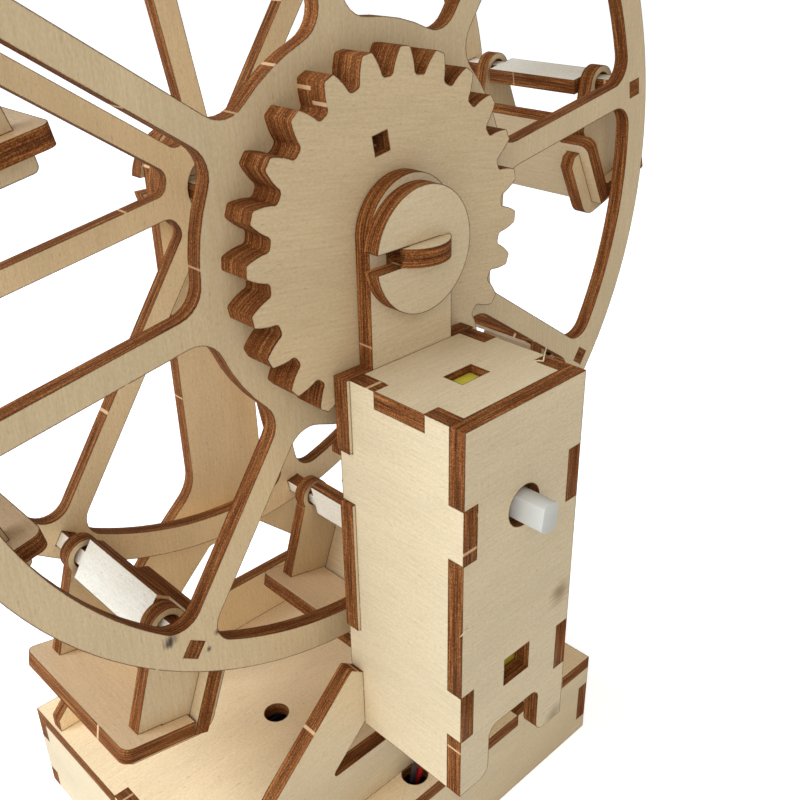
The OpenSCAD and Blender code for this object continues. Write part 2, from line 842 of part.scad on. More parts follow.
// One tooth round angle at, from root to tip and back, with its corner radii
function tooth(at, pitch_r, root_r, tip_r) =
  let (
    steps = 4,
    side = [for (i = [0:steps])
      let (r = root_r + (tip_r - root_r) * i / steps)
      [r, tooth_half(r, pitch_r), i == 0 ? gullet_round : i == steps ? tip_round : 0]]
  )
  concat(
    [for (p = side) [p[0] * cos(at - p[1]), p[0] * sin(at - p[1]), p[2]]],
    [for (i = [steps:-1:0])
      let (p = side[i])
      [p[0] * cos(at + p[1]), p[0] * sin(at + p[1]), p[2]]]
  );

// Toothed outline of a spur gear
module toothed(teeth, pitch_r, addendum, dedendum) {
  polygon(rounded([for (i = [0:teeth - 1])
    each tooth(360 * i / teeth, pitch_r, pitch_r - dedendum, pitch_r + addendum)]));
}

// One of the two plies of the wheel's gear
module gear_ply(y) {
  color("burlywood")
    sheet(y)
      translate([0, axle_z])
        rotate(wheel_angle)
          difference() {
            toothed(gear_teeth, gear_pitch_r, gear_addendum, gear_dedendum);
            circle(bore_r);
            for (side = [-1, 1])
              translate([0, side * align_hole_r])
                square(ply + 2 * slot_fit, center = true);
          }
}

module gear_front_ply() { gear_ply(gear_front_y); }
module gear_back_ply() { gear_ply(gear_back_y); }

// One of the two plies of the pinion on the motor shaft
module pinion_ply(y) {
  color("burlywood")
    sheet(y)
      translate([0, shaft_z])
        rotate(pinion_angle)
          difference() {
            toothed(pinion_teeth, pinion_pitch_r, pinion_addendum, pinion_dedendum);
            double_d(shaft_d + 2 * slot_fit, shaft_flat + 2 * slot_fit);
          }
}

module pinion_front_ply() { pinion_ply(pinion_front_y); }
module pinion_back_ply() { pinion_ply(pinion_front_y + ply); }

// Axle

// Outline of one end of the axle bar past a frame: neck, then round head
function axle_end(face_y, way) =
  let (
    head_y = face_y + way * (ply + slot_fit),
    round_r = (axle_w * axle_w / 4 + head_rise * head_rise) / (2 * head_rise),
    spread = asin(axle_w / 2 / round_r),
    centre = [0, head_y + way * (head_rise - round_r)],
    mid = way * 90
  )
  concat(
    [[way * axle_w / 2, face_y], [way * neck_w / 2, face_y], [way * neck_w / 2, head_y],
      [way * axle_w / 2, head_y]],
    arc(centre, round_r, mid - spread, mid + spread, 10),
    [[-way * axle_w / 2, head_y], [-way * neck_w / 2, head_y], [-way * neck_w / 2, face_y],
      [-way * axle_w / 2, face_y]]
  );

// Flat wooden bar that the wheel turns on, with a T head at each end
module axle_bar() {
  color("burlywood")
    translate([0, 0, axle_z - ply / 2])
      linear_extrude(ply)
        polygon(concat(axle_end(rear_cap_y, 1), axle_end(front_frame_y, -1)));
}

// Round cap that slides over the neck of the axle from its right
module axle_cap(y) {
  color("wheat")
    sheet(y)
      translate([0, axle_z])
        difference() {
          circle(cap_r);
          box2(-cap_r - cut, -ply / 2 - slot_fit, neck_w / 2 + slot_fit, ply / 2 + slot_fit);
        }
}

module front_cap() { axle_cap(front_cap_y); }
module rear_cap() { axle_cap(rear_cap_y); }

// Washer between the wheel and the rear frame
module rear_washer() {
  color("wheat")
    sheet(washer_y)
      difference() {
        translate([0, axle_z])
          circle(cap_r);
        axle_slot();
      }
}

// Wheel

// Window of a ring between the spokes at 0 and at 360 / spokes degrees
function ring_window(hub, hub_corner) =
  let (
    span = 360 / spokes,
    rim_in = wheel_r - rim_w,
    hub_c = hub + hub_corner,
    rim_c = rim_in - rim_corner_r,
    hub_a = asin((spoke_w / 2 + hub_corner) / hub_c),
    rim_a = asin((spoke_w / 2 + rim_corner_r) / rim_c)
  )
  concat(
    arc(hub_c * [cos(hub_a), sin(hub_a)], hub_corner, 180 + hub_a, 270, 6),
    arc(rim_c * [cos(rim_a), sin(rim_a)], rim_corner_r, -90, rim_a, 8),
    arc([0, 0], rim_in, rim_a, span - rim_a, 12),
    arc(rim_c * [cos(span - rim_a), sin(span - rim_a)], rim_corner_r, span - rim_a,
      span + 90, 8),
    arc(hub_c * [cos(span - hub_a), sin(span - hub_a)], hub_corner, span + 90,
      180 + span - hub_a, 6),
    arc([0, 0], hub, span - hub_a, hub_a, 4)
  );

// Spoked ring with a round bore and a square hole for each cross bar's pin
module ring(y, hub, hub_corner) {
  color("burlywood")
    sheet(y)
      translate([0, axle_z])
        rotate(wheel_angle)
          difference() {
            circle(wheel_r, $fn = 180);
            circle(bore_r);
            for (i = [0:spokes - 1])
              rotate(360 * i / spokes) {
                polygon(ring_window(hub, hub_corner));
                translate([pin_circle_r, 0])
                  square(ply + 2 * slot_fit, center = true);
              }
          }
}

module front_ring() { ring(front_ring_y, hub_r, hub_corner_r); }
module rear_ring() { ring(rear_ring_y, rear_hub_r, rear_hub_corner_r); }

// Flat bars that join the rings, with a square pin at each end to hang a gondola on
module cross_bars() {
  color("wheat")
    translate([0, 0, axle_z])
      for (i = [0:spokes - 1])
        rotate([0, -wheel_angle - 360 * i / spokes, 0])
          translate([pin_circle_r, 0, 0]) {
            cube([bar_w, bar_len, ply], center = true);
            cube([ply, ring_gap + 2 * ply, ply], center = true);
          }
}

// Gondolas

// Point n out from the seat back's inner face and s up it
function back_point(n, s) =
  back_foot + n * [cos(back_lean), -sin(back_lean)] + s * [sin(back_lean), cos(back_lean)];

// Height up the seat back, n out from its inner face, at which z is reached
function back_s(n, z) = (z - back_foot.y + n * sin(back_lean)) / cos(back_lean);

// Puts a gondola's piece on its pin, facing its way and tilted
module hang(i) {
  at = wheel_angle + 360 * i / spokes;
  facing = gondola_facing[i];
  translate([pin_circle_r * cos(at), 0, axle_z + pin_circle_r * sin(at)])
    rotate([0, facing * (hang_tilt + gondola_extra_tilt[i]), 0])
      rotate([0, 0, facing > 0 ? 0 : 180])
        children();
}

// End plate of a gondola: ear, floor notch and prong in front, tail through the seat back
module end_plate() {
  tail_n = ply + tail;
  tail_top = slot_h - slot_fit;
  outline = [
    [-ear_r * end_top_x_share, 0, 0],
    [-end_front_x, -floor_drop, 0],
    [0, -floor_drop + slot_fit, 0],
    [0, -floor_drop - ply - slot_fit, 0],
    [-prong_reach, -floor_drop - ply - slot_fit, prong_r],
    [-prong_reach, -tail_drop, prong_r],
    [for (v = back_point(tail_n, back_s(tail_n, -tail_drop))) v],
    [for (v = back_point(tail_n, tail_top - tail / 2)) v],
    [for (v = back_point(tail_n - tail / 2, tail_top)) v],
    [for (v = back_point(-slot_fit, tail_top)) v],
    [for (v = back_point(-slot_fit, end_shoulder_s)) v]
  ];
  radii = [0, 0, 0, 0, prong_r, prong_r, tail_r, 0, 0, 0, 0];
  shoulder = back_point(-slot_fit, end_shoulder_s);
  touch = atan2(shoulder.y, shoulder.x) + acos(ear_r / norm(shoulder));
  difference() {
    union() {
      circle(ear_r);
      polygon(concat(
        rounded([for (i = [0:len(outline) - 1]) [outline[i][0], outline[i][1], radii[i]]]),
        [ear_r * [cos(touch), sin(touch)]]
      ));
    }
    circle(ear_hole_r);
  }
}

// The two end plates of a gondola
module gondola_ends(i) {
  color("burlywood")
    hang(i)
      for (y = [-seat_w / 2 - ply, seat_w / 2])
        sheet(y)
          end_plate();
}

// Floor of a gondola, round at its front corners and slotted for the end plates
module gondola_floor(i) {
  back_x = back_foot.x - slot_fit;
  color("burlywood")
    hang(i)
      level_sheet(-floor_drop - ply)
        difference() {
          polygon(rounded([
            [-floor_front, -floor_l / 2, floor_corner_r],
            [back_x, -floor_l / 2, 0],
            [back_x, floor_l / 2, 0],
            [-floor_front, floor_l / 2, floor_corner_r]
          ]));
          for (y = [-seat_w / 2 - ply, seat_w / 2])
            box2(-slot_fit, y - slot_fit, back_x + cut, y + ply + slot_fit);
        }
}

// Leaning seat back of a gondola, slotted from below for the end plates
module gondola_back(i) {
  corner_r = floor_corner_r;
  crest_r = ply / 2;
  color("wheat")
    hang(i)
      translate([back_foot.x, 0, back_foot.y])
        rotate([0, back_lean, 0])
          side_sheet(0)
            difference() {
              polygon(rounded(both_sides([
                [floor_l / 2, 0, 0],
                [floor_l / 2, shoulder_h, corner_r],
                [crest_w / 2 + crest_r, shoulder_h, crest_r / 2],
                [crest_w / 2, crest_h, crest_r]
              ])));
              for (y = [-seat_w / 2 - ply, seat_w / 2])
                box2(y - slot_fit, -cut, y + ply + slot_fit, slot_h);
            }
}

base_top();
base_bottom();
base_front_wall();
base_back_wall();
base_left_wall();
base_right_wall();
battery_holder();
battery_cells();
battery_contacts();
red_lead();
black_lead();
front_frame();
rear_frame();
tower_front();
tower_left();
tower_right();
tower_lid();
motor_gearbox();
motor_can();
motor_strap();
motor_shaft();
pinion_front_ply();
pinion_back_ply();
axle_bar();
front_cap();
rear_cap();
rear_washer();
gear_front_ply();
gear_back_ply();
front_ring();
rear_ring();
cross_bars();
gondola_ends(0);  // gondola_a_ends
gondola_floor(0);  // gondola_a_floor
gondola_back(0);  // gondola_a_back
gondola_ends(1);  // gondola_b_ends
gondola_floor(1);  // gondola_b_floor
gondola_back(1);  // gondola_b_back
gondola_ends(2);  // gondola_c_ends
gondola_floor(2);  // gondola_c_floor
gondola_back(2);  // gondola_c_back
gondola_ends(3);  // gondola_d_ends
gondola_floor(3);  // gondola_d_floor
gondola_back(3);  // gondola_d_back
gondola_ends(4);  // gondola_e_ends
gondola_floor(4);  // gondola_e_floor
gondola_back(4);  // gondola_e_back
gondola_ends(5);  // gondola_f_ends
gondola_floor(5);  // gondola_f_floor
gondola_back(5);  // gondola_f_back
gondola_ends(6);  // gondola_g_ends
gondola_floor(6);  // gondola_g_floor
gondola_back(6);  // gondola_g_back
gondola_ends(7);  // gondola_h_ends
gondola_floor(7);  // gondola_h_floor
gondola_back(7);  // gondola_h_back
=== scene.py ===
"""Looks of a motor-driven ferris wheel, a slot-together kit of laser-cut birch plywood."""
import json
from math import cos, radians, sin

import bmesh
import bpy
from mathutils import Matrix, Vector
from mathutils.geometry import delaunay_2d_cdt

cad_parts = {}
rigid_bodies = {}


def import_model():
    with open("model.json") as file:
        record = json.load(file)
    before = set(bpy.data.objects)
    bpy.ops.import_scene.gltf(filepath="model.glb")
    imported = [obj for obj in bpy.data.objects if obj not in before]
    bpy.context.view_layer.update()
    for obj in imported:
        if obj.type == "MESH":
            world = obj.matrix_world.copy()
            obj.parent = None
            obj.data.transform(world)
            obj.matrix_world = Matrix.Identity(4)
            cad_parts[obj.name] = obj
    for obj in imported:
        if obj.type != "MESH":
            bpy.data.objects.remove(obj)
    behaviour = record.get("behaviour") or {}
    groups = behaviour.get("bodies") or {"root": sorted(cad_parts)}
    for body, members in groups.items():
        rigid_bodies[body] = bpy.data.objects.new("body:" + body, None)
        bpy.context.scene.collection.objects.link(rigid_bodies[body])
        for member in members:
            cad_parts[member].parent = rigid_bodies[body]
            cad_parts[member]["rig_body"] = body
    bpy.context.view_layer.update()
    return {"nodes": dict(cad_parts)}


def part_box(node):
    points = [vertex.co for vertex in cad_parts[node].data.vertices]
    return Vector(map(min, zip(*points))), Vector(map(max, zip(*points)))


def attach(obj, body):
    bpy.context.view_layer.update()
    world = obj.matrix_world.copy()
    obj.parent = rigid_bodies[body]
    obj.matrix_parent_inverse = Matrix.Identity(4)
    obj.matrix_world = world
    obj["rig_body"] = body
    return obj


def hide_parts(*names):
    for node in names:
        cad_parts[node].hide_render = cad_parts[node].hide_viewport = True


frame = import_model()

# Camera
# The photograph was taken by hand from close by, left of the motor tower and a little
# above the axle. Its focal length is given in pixels of the 800 pixel wide picture.
MM = 0.001
picture_px = 800
focal_px = 977
sensor_mm = 36
nearest_seen = 10 * MM
camera_turn = radians(43.81)
camera_tilt = radians(27.47)
camera_roll = radians(-1.12)
camera_at = Vector((-104.2, -138.4, 184.6)) * MM

forward = Vector((sin(camera_turn) * cos(camera_tilt),
                  cos(camera_turn) * cos(camera_tilt),
                  -sin(camera_tilt)))
level_right = Vector((cos(camera_turn), -sin(camera_turn), 0))
level_up = level_right.cross(forward)
right = level_right * cos(camera_roll) + level_up * sin(camera_roll)
up = level_up * cos(camera_roll) - level_right * sin(camera_roll)

camera = bpy.data.objects.new("camera", bpy.data.cameras.new("camera"))
camera.data.sensor_width = sensor_mm
camera.data.lens = sensor_mm * focal_px / picture_px
camera.data.clip_start = nearest_seen
camera_axes = Matrix((right, up, -forward)).transposed()
camera.matrix_world = Matrix.Translation(camera_at) @ camera_axes.to_4x4()
bpy.context.scene.collection.objects.link(camera)
bpy.context.scene.camera = camera
bpy.context.scene.view_settings.view_transform = "Standard"

# Studio
# A white table under a cool window light from behind on the left. A soft lamp beside the
# camera and a white room fill the shaded fronts evenly.
room_fill = 0.32
# Power in watts, size in metres, the way to the lamp and its colour
lamps = (
    ("window", 32, 1.0, (-0.76, 0.26, 0.60), (0.70, 0.82, 1.0)),
    ("soft lamp", 10.4, 1.1, (-0.61, -0.64, 0.46), (1.0, 0.99, 0.97)))
lamp_distance = 1.6
lamp_aim = Vector((0, 0, 0.1))
table_half = 2
table_shade = "#f4f3f0"
table_roughness = 0.9
table_glow = 0.6


def shade(hex_code):
    """Linear colour of an sRGB hex code."""
    parts = [int(hex_code[i:i + 2], 16) / 255 for i in (1, 3, 5)]
    return [c / 12.92 if c <= 0.04045 else ((c + 0.055) / 1.055) ** 2.4 for c in parts] + [1]


def node(material, kind, links=(), **settings):
    """Adds a node. Settings named in_0 or in_Scale go to its inputs, which the links join."""
    made = material.node_tree.nodes.new("ShaderNode" + kind)
    for key, value in settings.items():
        if key.startswith("in_"):
            spot = key[3:].replace("_", " ")
            made.inputs[int(spot) if spot.isdigit() else spot].default_value = value
        else:
            setattr(made, key, value)
    for spot, output in dict(links).items():
        material.node_tree.links.new(output, made.inputs[spot])
    return made


def fresh(name):
    """New material with an empty node tree."""
    material = bpy.data.materials.new(name)
    material.use_nodes = True
    material.node_tree.nodes.clear()
    return material


pure_white = shade("#ffffff")
world = bpy.data.worlds.new("white room")
bpy.context.scene.world = world
world.use_nodes = True
world.node_tree.nodes.clear()
ray = node(world, "LightPath").outputs
looked_at = node(world, "Math", {0: ray["Is Camera Ray"], 1: ray["Is Glossy Ray"]},
                 operation="MAXIMUM").outputs[0]
looked_at = node(world, "Math", {0: looked_at, 1: ray["Is Transmission Ray"]},
                 operation="MAXIMUM").outputs[0]
fill = node(world, "Background", in_0=pure_white, in_1=room_fill).outputs[0]
white = node(world, "Background", in_0=pure_white, in_1=1).outputs[0]
room = node(world, "MixShader", {0: looked_at, 1: fill, 2: white}).outputs[0]
node(world, "OutputWorld", {0: room})

for lamp_name, power, size, way, colour in lamps:
    lamp = bpy.data.objects.new(lamp_name, bpy.data.lights.new(lamp_name, "AREA"))
    lamp.data.size = size
    lamp.data.energy = power
    lamp.data.color = colour
    lamp.location = Vector(way).normalized() * lamp_distance + lamp_aim
    lamp.rotation_euler = Vector(way).to_track_quat("Z", "Y").to_euler()
    bpy.context.scene.collection.objects.link(lamp)

paper = fresh("white paper")
camera_ray = node(paper, "LightPath").outputs["Is Camera Ray"]
glow = node(paper, "Math", {0: camera_ray}, operation="MULTIPLY", in_1=table_glow).outputs[0]
shader = node(paper, "BsdfPrincipled", {"Emission Strength": glow}, in_Emission_Color=pure_white,
              in_Base_Color=shade(table_shade), in_Roughness=table_roughness)
node(paper, "OutputMaterial", {"Surface": shader.outputs[0]})

bm = bmesh.new()
bmesh.ops.create_grid(bm, x_segments=1, y_segments=1, size=table_half)
floor = bpy.data.objects.new("floor", bpy.data.meshes.new("floor"))
bm.to_mesh(floor.data)
bm.free()
bpy.context.scene.collection.objects.link(floor)
floor.data.materials.append(paper)

# Base box
# Six sheets of 3 mm birch plywood, finger-jointed without glue. A laser cut them, so
# every edge is charred brown, with pale stubs where a bridge held the piece in its sheet.
nodes = frame["nodes"]
X = (1, 0, 0)
Y = (0, 1, 0)
Z = (0, 0, 1)
ply = 3 * MM
weld = 0.002 * MM
flat_enough = 0.9999

# The char runs over onto the faces as a dark rim, then as a faint band of smoke. Char and
# smoke are amounts of the "char" attribute, which is 1 on the edges and 0 on the faces.
rim_width = 0.16 * MM
smoke_width = 0.14 * MM
smoke_amount = 0.4
smoke_share = 0.12
full_char = 0.8
ragged_by = 0.16

# Depths in the sheet from its middle, where the core ply ends and the dark lip begins.
core_end = (0.42 * MM, 0.55 * MM)
core_shade = 0.72
lip_start = (1.38 * MM, 1.48 * MM)
lip_shade = 0.5

# Pattern sizes in mm, along the grain, across it and through the sheet. The char's real
# grit is finer than the one drawn here, which is as coarse as it needs to be to show.
even = 1000
fibre_mm = (6, 0.5, even)
pore_mm = (1.6, 0.4, even)
patch_mm = (30, 9, even)
fleck_mm = (0.7, 0.35, even)
scorch_mm = (9, 9, 0.22)
grit_mm = (0.22, 0.22, 0.22)
bridge_cell = 5.8
bridge_radius = 0.36
bridge_mm = (bridge_cell, bridge_cell, even)
fibre_relief = 0.05 * MM

pore_brown = "#8f7049"
char_dark = "#421d07"
char_brown = "#7d461e"
char_tan = "#b77f49"
bridge_pale = "#d6ad80"
soot_fade = 0.6


def birch(name, face="#dac5a0", streak="#ceb68d", smudges=()):
    """Rotary-cut birch: satin pale faces with fine fibres and short dark pores, charred edges."""
    material = fresh(name)
    place = node(material, "Attribute", attribute_name="sheet").outputs["Vector"]
    char = node(material, "Attribute", attribute_name="char").outputs["Fac"]
    tone = node(material, "Attribute", attribute_name="tone").outputs["Fac"]

    def pattern(kind, size_mm, **settings):
        scale = [1 / (mm * MM) for mm in size_mm]
        at = node(material, "Mapping", {0: place}, in_Scale=scale).outputs[0]
        return node(material, kind, {"Vector": at}, in_Scale=1, **settings).outputs[0]

    # Face: fibres along the grain, dark pores, paler and darker patches, and fine flecks
    fibres = pattern("TexNoise", fibre_mm, in_Detail=4)
    amount = node(material, "MapRange", {0: fibres}, in_1=0.3, in_2=0.72, in_4=0.75).outputs[0]
    colour = node(material, "Mix", {0: amount}, data_type="RGBA",
                  in_6=shade(face), in_7=shade(streak)).outputs[2]
    pores = pattern("TexNoise", pore_mm, in_Detail=1)
    amount = node(material, "MapRange", {0: pores}, in_1=0.66, in_2=0.76, in_4=0.3).outputs[0]
    colour = node(material, "Mix", {0: amount, 6: colour}, data_type="RGBA",
                  in_7=shade(pore_brown)).outputs[2]
    patches = pattern("TexNoise", patch_mm, in_Detail=2)
    patches = node(material, "Math", {0: patches, 1: tone}, operation="ADD").outputs[0]
    patches = node(material, "MapRange", {0: patches},
                   in_1=0.25, in_2=0.8, in_3=0.93, in_4=1.05).outputs[0]
    flecks = pattern("TexNoise", fleck_mm, in_Detail=2)
    flecks = node(material, "MapRange", {0: flecks},
                  in_1=0.3, in_2=0.7, in_3=0.93, in_4=1.07).outputs[0]
    for light in (patches, flecks):
        colour = node(material, "VectorMath", {0: colour, 1: light},
                      operation="MULTIPLY").outputs[0]

    # Soot: round marks on the face, given in mm, whose border the fibres make uneven
    for centre, radius, strength, soot_colour in smudges:
        here = node(material, "TexCoord").outputs["Object"]
        away = node(material, "VectorMath", {0: here}, operation="DISTANCE",
                    in_1=Vector(centre) * MM).outputs["Value"]
        away = node(material, "Math", {0: fibres, 2: away}, operation="MULTIPLY_ADD",
                    in_1=-radius * MM).outputs[0]
        soot = node(material, "MapRange", {0: away}, interpolation_type="SMOOTHSTEP",
                    in_1=-soot_fade * radius * MM, in_2=soot_fade * radius * MM,
                    in_3=strength, in_4=0).outputs[0]
        colour = node(material, "Mix", {0: soot, 6: colour}, data_type="RGBA",
                      in_7=shade(soot_colour)).outputs[2]

    # Charred edge: scorched streaks along the plies, a darker core ply, dark lips where it
    # meets the faces, and pale broken bridges across it
    scorch = pattern("TexNoise", scorch_mm, in_Detail=3)
    grit = pattern("TexNoise", grit_mm, in_Detail=2)
    burn = node(material, "Math", {0: grit, 2: scorch}, operation="MULTIPLY_ADD",
                in_1=0.8).outputs[0]
    burn = node(material, "MapRange", {0: burn}, in_1=0.62, in_2=1.2).outputs[0]
    burnt = node(material, "ValToRGB", {0: burn})
    burnt.color_ramp.elements[0].color = shade(char_dark)
    burnt.color_ramp.elements[1].color = shade(char_tan)
    burnt.color_ramp.elements.new(0.5).color = shade(char_brown)
    depth = node(material, "SeparateXYZ", {0: place}).outputs[2]
    depth = node(material, "Math", {0: depth}, operation="ABSOLUTE").outputs[0]
    core = node(material, "MapRange", {0: depth}, in_1=core_end[0], in_2=core_end[1],
                in_3=core_shade, in_4=1).outputs[0]
    lip = node(material, "MapRange", {0: depth}, in_1=lip_start[0], in_2=lip_start[1],
               in_3=1, in_4=lip_shade).outputs[0]
    shadow = node(material, "Math", {0: core, 1: lip}, operation="MULTIPLY").outputs[0]
    edge = node(material, "VectorMath", {0: burnt.outputs[0], 1: shadow},
                operation="MULTIPLY").outputs[0]
    bridge = pattern("TexVoronoi", bridge_mm, voronoi_dimensions="2D")
    bridge = node(material, "MapRange", {0: bridge}, in_1=0.7 * bridge_radius / bridge_cell,
                  in_2=bridge_radius / bridge_cell, in_3=0.9, in_4=0).outputs[0]
    edge = node(material, "Mix", {0: bridge, 6: edge}, data_type="RGBA",
                in_7=shade(bridge_pale)).outputs[2]

    # Rim: the char thins to smoke over a ragged border, and is duller and rougher than wood
    ragged = node(material, "MapRange", {0: grit}, in_1=0.3, in_2=0.7,
                  in_3=-ragged_by, in_4=ragged_by).outputs[0]
    ragged = node(material, "Math", {0: char, 1: ragged}, operation="ADD").outputs[0]
    charred = node(material, "ValToRGB", {0: ragged})
    charred.color_ramp.elements.new(smoke_amount).color = (smoke_share, smoke_share, smoke_share, 1)
    charred.color_ramp.elements.new(full_char).color = (1, 1, 1, 1)
    colour = node(material, "Mix", {0: charred.outputs[0], 6: colour, 7: edge},
                  data_type="RGBA").outputs[2]
    rough = node(material, "MapRange", {0: char}, in_3=0.55, in_4=0.8).outputs[0]
    gloss = node(material, "MapRange", {0: char}, in_3=0.4, in_4=0.12).outputs[0]
    relief = node(material, "Mix", {0: char, 2: fibres, 3: burn}, data_type="FLOAT").outputs[0]
    bump = node(material, "Bump", {"Height": relief}, in_Strength=0.5,
                in_Distance=fibre_relief).outputs[0]
    shader = node(material, "BsdfPrincipled", {
        "Base Color": colour, "Roughness": rough, "Specular IOR Level": gloss, "Normal": bump})
    node(material, "OutputMaterial", {"Surface": shader.outputs[0]})
    return material


def copy_of(node_name):
    """A bmesh of a CAD node with its doubled corners merged."""
    bm = bmesh.new()
    bm.from_mesh(nodes[node_name].data)
    bmesh.ops.remove_doubles(bm, verts=bm.verts[:], dist=weld)
    return bm


def finish_piece(bm, node_name, ending, material, smooth_angle):
    """Makes the mesh a piece, which takes the CAD node's place and body, with the material given.
    """
    piece = bpy.data.objects.new(node_name + ending, bpy.data.meshes.new(node_name))
    for f in bm.faces:
        f.smooth = True
    bm.to_mesh(piece.data)
    bm.free()
    piece.data.set_sharp_from_angle(angle=radians(smooth_angle))
    piece.data.materials.append(material)
    bpy.context.scene.collection.objects.link(piece)
    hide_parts(node_name)
    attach(piece, nodes[node_name]["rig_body"])


def loose_parts(bm):
    """The separate solids of a mesh, each a list of its vertices, in the same order each run."""
    taken = set()
    parts = []
    for first in bm.verts:
        if first in taken:
            continue
        part = set()
        reached = [first]
        while reached:
            part.update(reached)
            reached = list({e.other_vert(v) for v in reached for e in v.link_edges} - part)
        taken |= part
        parts.append([v for v in bm.verts if v in part])
    return parts


def broad_side(faces):
    """The normal that most of the faces' area shares: the sheet's own."""
    def area_along(normal):
        return sum(f.calc_area() for f in faces if abs(f.normal.dot(normal)) > flat_enough)
    largest = sorted(faces, key=lambda f: -f.calc_area())[:6]
    return max((f.normal.copy() for f in largest), key=area_along)


def filled(bm, rim, along, across):
    """Fills a flat outline, given as ways with the sheet on their left, and leaves holes open.

    Where an inset crosses itself in a tight corner, a fill operator would fill the slivers
    that turned over too. This keeps only the triangles that the outline runs round.
    """
    verts = list(dict.fromkeys(v for way in rim for v in way))
    spot = {v: i for i, v in enumerate(verts)}
    flat = [Vector((v.co.dot(along), v.co.dot(across))) / MM for v in verts]
    lines = [(spot[start], spot[end]) for start, end in rim]
    keep_all = 0
    weld_mm = 1e-5
    places, edges, triangles, sources, edge_sources, _ = delaunay_2d_cdt(
        flat, lines, [], keep_all, weld_mm)

    # How many more times the outline runs round what lies left of an edge than right of it
    step = {}
    for (i, j), found in zip(edges, edge_sources):
        way = places[j] - places[i]
        step[i, j] = sum(1 if way.dot(flat[lines[k][1]] - flat[lines[k][0]]) > 0 else -1
                         for k in found if k < len(lines))
        step[j, i] = -step[i, j]

    # The turns of the outline round each triangle, counted inwards from the outermost
    owner = {(triangle[i - 1], triangle[i]): t
             for t, triangle in enumerate(triangles) for i in range(3)}
    turns = {t: step[way] for way, t in owner.items() if way[::-1] not in owner}
    reached = list(turns)
    while reached:
        t = reached.pop()
        for i in range(3):
            way = (triangles[t][i - 1], triangles[t][i])
            other = owner.get(way[::-1], t)
            if other not in turns:
                turns[other] = turns[t] - step[way]
                reached.append(other)

    first = verts[0].co
    depth = first - first.dot(along) * along - first.dot(across) * across
    corners = [verts[source[0]] if source
               else bm.verts.new(depth + (place.x * along + place.y * across) * MM)
               for place, source in zip(places, sources)]
    made = []
    for t, triangle in enumerate(triangles):
        face = [corners[i] for i in triangle]
        if turns[t] > 0 and len(set(face)) == 3 and not bm.faces.get(face):
            made.append(bm.faces.new(face))
    return made


# Every solid reads its own stretch of the grain and has its own tone. Both come from a
# seed of its name and centre.
name_marks = 97
mark_step = 0.031
centre_way = (3.1, 7.7, 5.3)
across_share = 0.7
tone_turn = 91
tone_spread = 0.12
plain_birch = birch("birch plywood")
# A brighter copy of the birch, used on the base top, rear frame and rear ring: painted light,
# standing in for the bounced light that reaches them in the shade of the wheel and tower.
painted_light_birch = birch("birch plywood with painted light", face="#fbe0b3", streak="#f0d1a0")


def cut_sheet(node_name, grain, material=plain_birch):
    """The laser-cut plywood that stands for a CAD node, its grain along the way given."""
    bm = copy_of(node_name)
    sheet = bm.verts.layers.float_vector.new("sheet")
    char = bm.verts.layers.float.new("char")
    tone = bm.verts.layers.float.new("tone")
    mark = sum(ord(c) * (i + 1) for i, c in enumerate(node_name)) % name_marks
    for part in loose_parts(bm):
        faces = list(dict.fromkeys(f for v in part for f in v.link_faces))
        normal = broad_side(faces)
        along = (Vector(grain) - normal * normal.dot(grain)).normalized()
        across = normal.cross(along)
        depths = [v.co.dot(normal) for v in part]
        mid = (min(depths) + max(depths)) / 2
        centre = sum((v.co for v in part), Vector()) / len(part)
        seed = mark * mark_step + centre.dot(centre_way)
        for v in part:
            v[char] = 1
        broad = [f for f in faces if abs(f.normal.dot(normal)) > flat_enough
                 and abs(abs(f.verts[0].co.dot(normal) - mid) - ply / 2) < ply / 8]

        # Two insets give the rim and the smoke their bands
        bands = []
        for width, amount in ((rim_width, smoke_amount), (smoke_width, 0)):
            bands += bmesh.ops.inset_region(
                bm, faces=broad, thickness=width, depth=0,
                use_boundary=True, use_even_offset=True)["faces"]
            for v in {v for f in broad for v in f.verts}:
                v[char] = amount

        # Each face inside them is filled anew, without the slivers of the insets' corners
        top = dict.fromkeys(f for f in broad if f.verts[0].co.dot(normal) > mid)
        bottom = dict.fromkeys(f for f in broad if f not in top)
        for side, inner in ((normal, top), (-normal, bottom)):
            rim = [(c.vert, c.link_loop_next.vert) for f in inner for c in f.loops
                   if sum(g in inner for g in c.edge.link_faces) == 1]
            struts = dict.fromkeys(c.edge for f in inner for c in f.loops
                                   if sum(g in inner for g in c.edge.link_faces) > 1)
            bmesh.ops.delete(bm, geom=list(inner), context="FACES_ONLY")
            bmesh.ops.delete(bm, geom=list(struts), context="EDGES")
            faces += filled(bm, rim, along, side.cross(along))

        for v in {v for f in faces + bands if f.is_valid for v in f.verts}:
            v[sheet] = (v.co.dot(along) + seed,
                        v.co.dot(across) + seed * across_share,
                        v.co.dot(normal) - mid)
            v[tone] = sin(seed * tone_turn) * tone_spread
    finish_piece(bm, node_name, "_ply", material, smooth_angle=30)


cut_sheet("base_top", X, painted_light_birch)
for piece_name in ("base_bottom", "base_front_wall", "base_back_wall"):
    cut_sheet(piece_name, X)
for piece_name in ("base_left_wall", "base_right_wall"):
    cut_sheet(piece_name, Y)

# Battery holder and leads
# A black moulded tray with two cells in grey shrink sleeve lies in the closed base. Its
# two stranded leads, in red and black PVC, come up through the wiring hole to the motor.
flow_size = 7 * MM
flow_shade = 0.86
skin_size = 0.6 * MM
skin_relief = 0.02 * MM
sharp_angle = radians(40)


